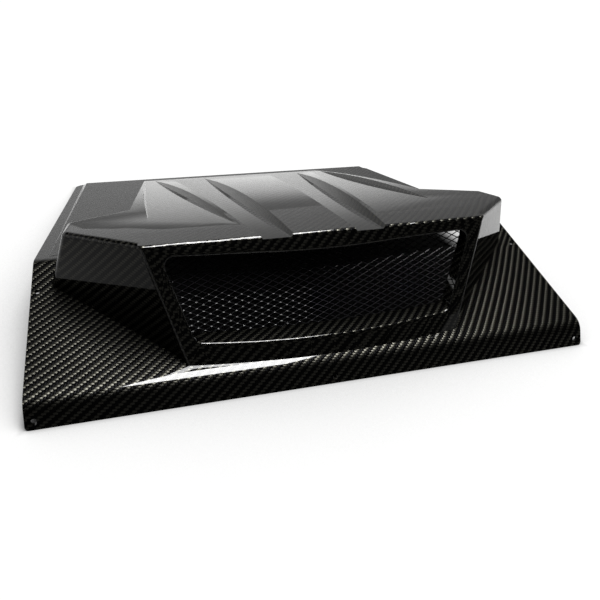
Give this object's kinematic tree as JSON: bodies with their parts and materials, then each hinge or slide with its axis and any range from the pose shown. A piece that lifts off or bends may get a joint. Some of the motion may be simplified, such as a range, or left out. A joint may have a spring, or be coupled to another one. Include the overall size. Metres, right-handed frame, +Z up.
{
  "type": "bonnet scoop",
  "caption": "Carbon-fibre bonnet scoop: a sloped base flange with a turned-down front lip carries a raised, forward-facing mouth backed by diamond mesh.",
  "frame": {"origin": "Middle of the footprint, on the surface that the lip and the rear edge lie on", "axes": "+Z up, the mouth looks along -Y, +X to the right when facing the way the mouth's air flows, that is toward +Y"},
  "size_m": [0.4238, 0.384, 0.1008],
  "materials": {
    "carbon_clear_coat": "twill carbon-fibre laminate under a glossy clear coat",
    "black_mesh": "satin black coated expanded metal"
  },
  "bodies": {
    "root": {"scoop_shell": "carbon_clear_coat", "mesh_grille": "black_mesh"}
  },
  "joints": []
}
